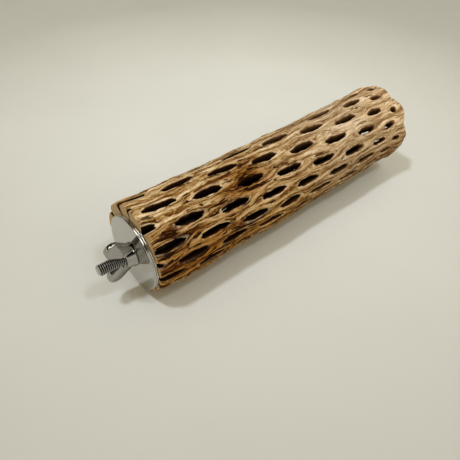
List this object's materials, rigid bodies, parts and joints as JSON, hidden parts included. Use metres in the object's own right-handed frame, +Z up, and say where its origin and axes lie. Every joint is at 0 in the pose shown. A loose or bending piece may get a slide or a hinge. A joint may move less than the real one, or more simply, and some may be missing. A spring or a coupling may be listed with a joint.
{
  "type": "bird perch",
  "caption": "Bird perch: a hollow, net-like length of cholla cactus wood on a stud that clamps to cage bars between steel washers with a wing nut.",
  "frame": {"origin": "on the axis of the bolt, at the outer face of the inner washer, which is the plane that the cage bars bear on", "axes": "+X along the wood from the mounting end to its tip, +Z up, +Y across the wood"},
  "size_m": [0.2157, 0.0523, 0.0548],
  "materials": {
    "cholla_wood": "matte, dried cactus wood with fine grain",
    "plug_wood": "matte, dark hardwood",
    "bolt_steel": "bright stainless",
    "washer_steel": "polished stainless",
    "nut_steel": "polished stainless"
  },
  "bodies": {
    "perch": {"cholla_branch": "cholla_wood", "core_plug": "plug_wood", "hanger_bolt": "bolt_steel", "inner_washer": "washer_steel"},
    "clamp_washer": {"outer_washer": "washer_steel"},
    "nut": {"wing_nut": "nut_steel"}
  },
  "joints": [
    {"name": "washer_slide", "type": "slide", "parent": "perch", "child": "clamp_washer", "axis": [-1, 0, 0], "range_m": [0, 0.01301]},
    {"name": "nut_turn", "type": "hinge", "parent": "clamp_washer", "child": "nut", "pos_m": [0, 0, 0], "axis": [-1, 0, 0], "range_deg": [0, 4680]}
  ],
  "couplings": [
    {"joint": "washer_slide", "follows": "nut_turn", "m_per_rad": 0.00015915}
  ]
}
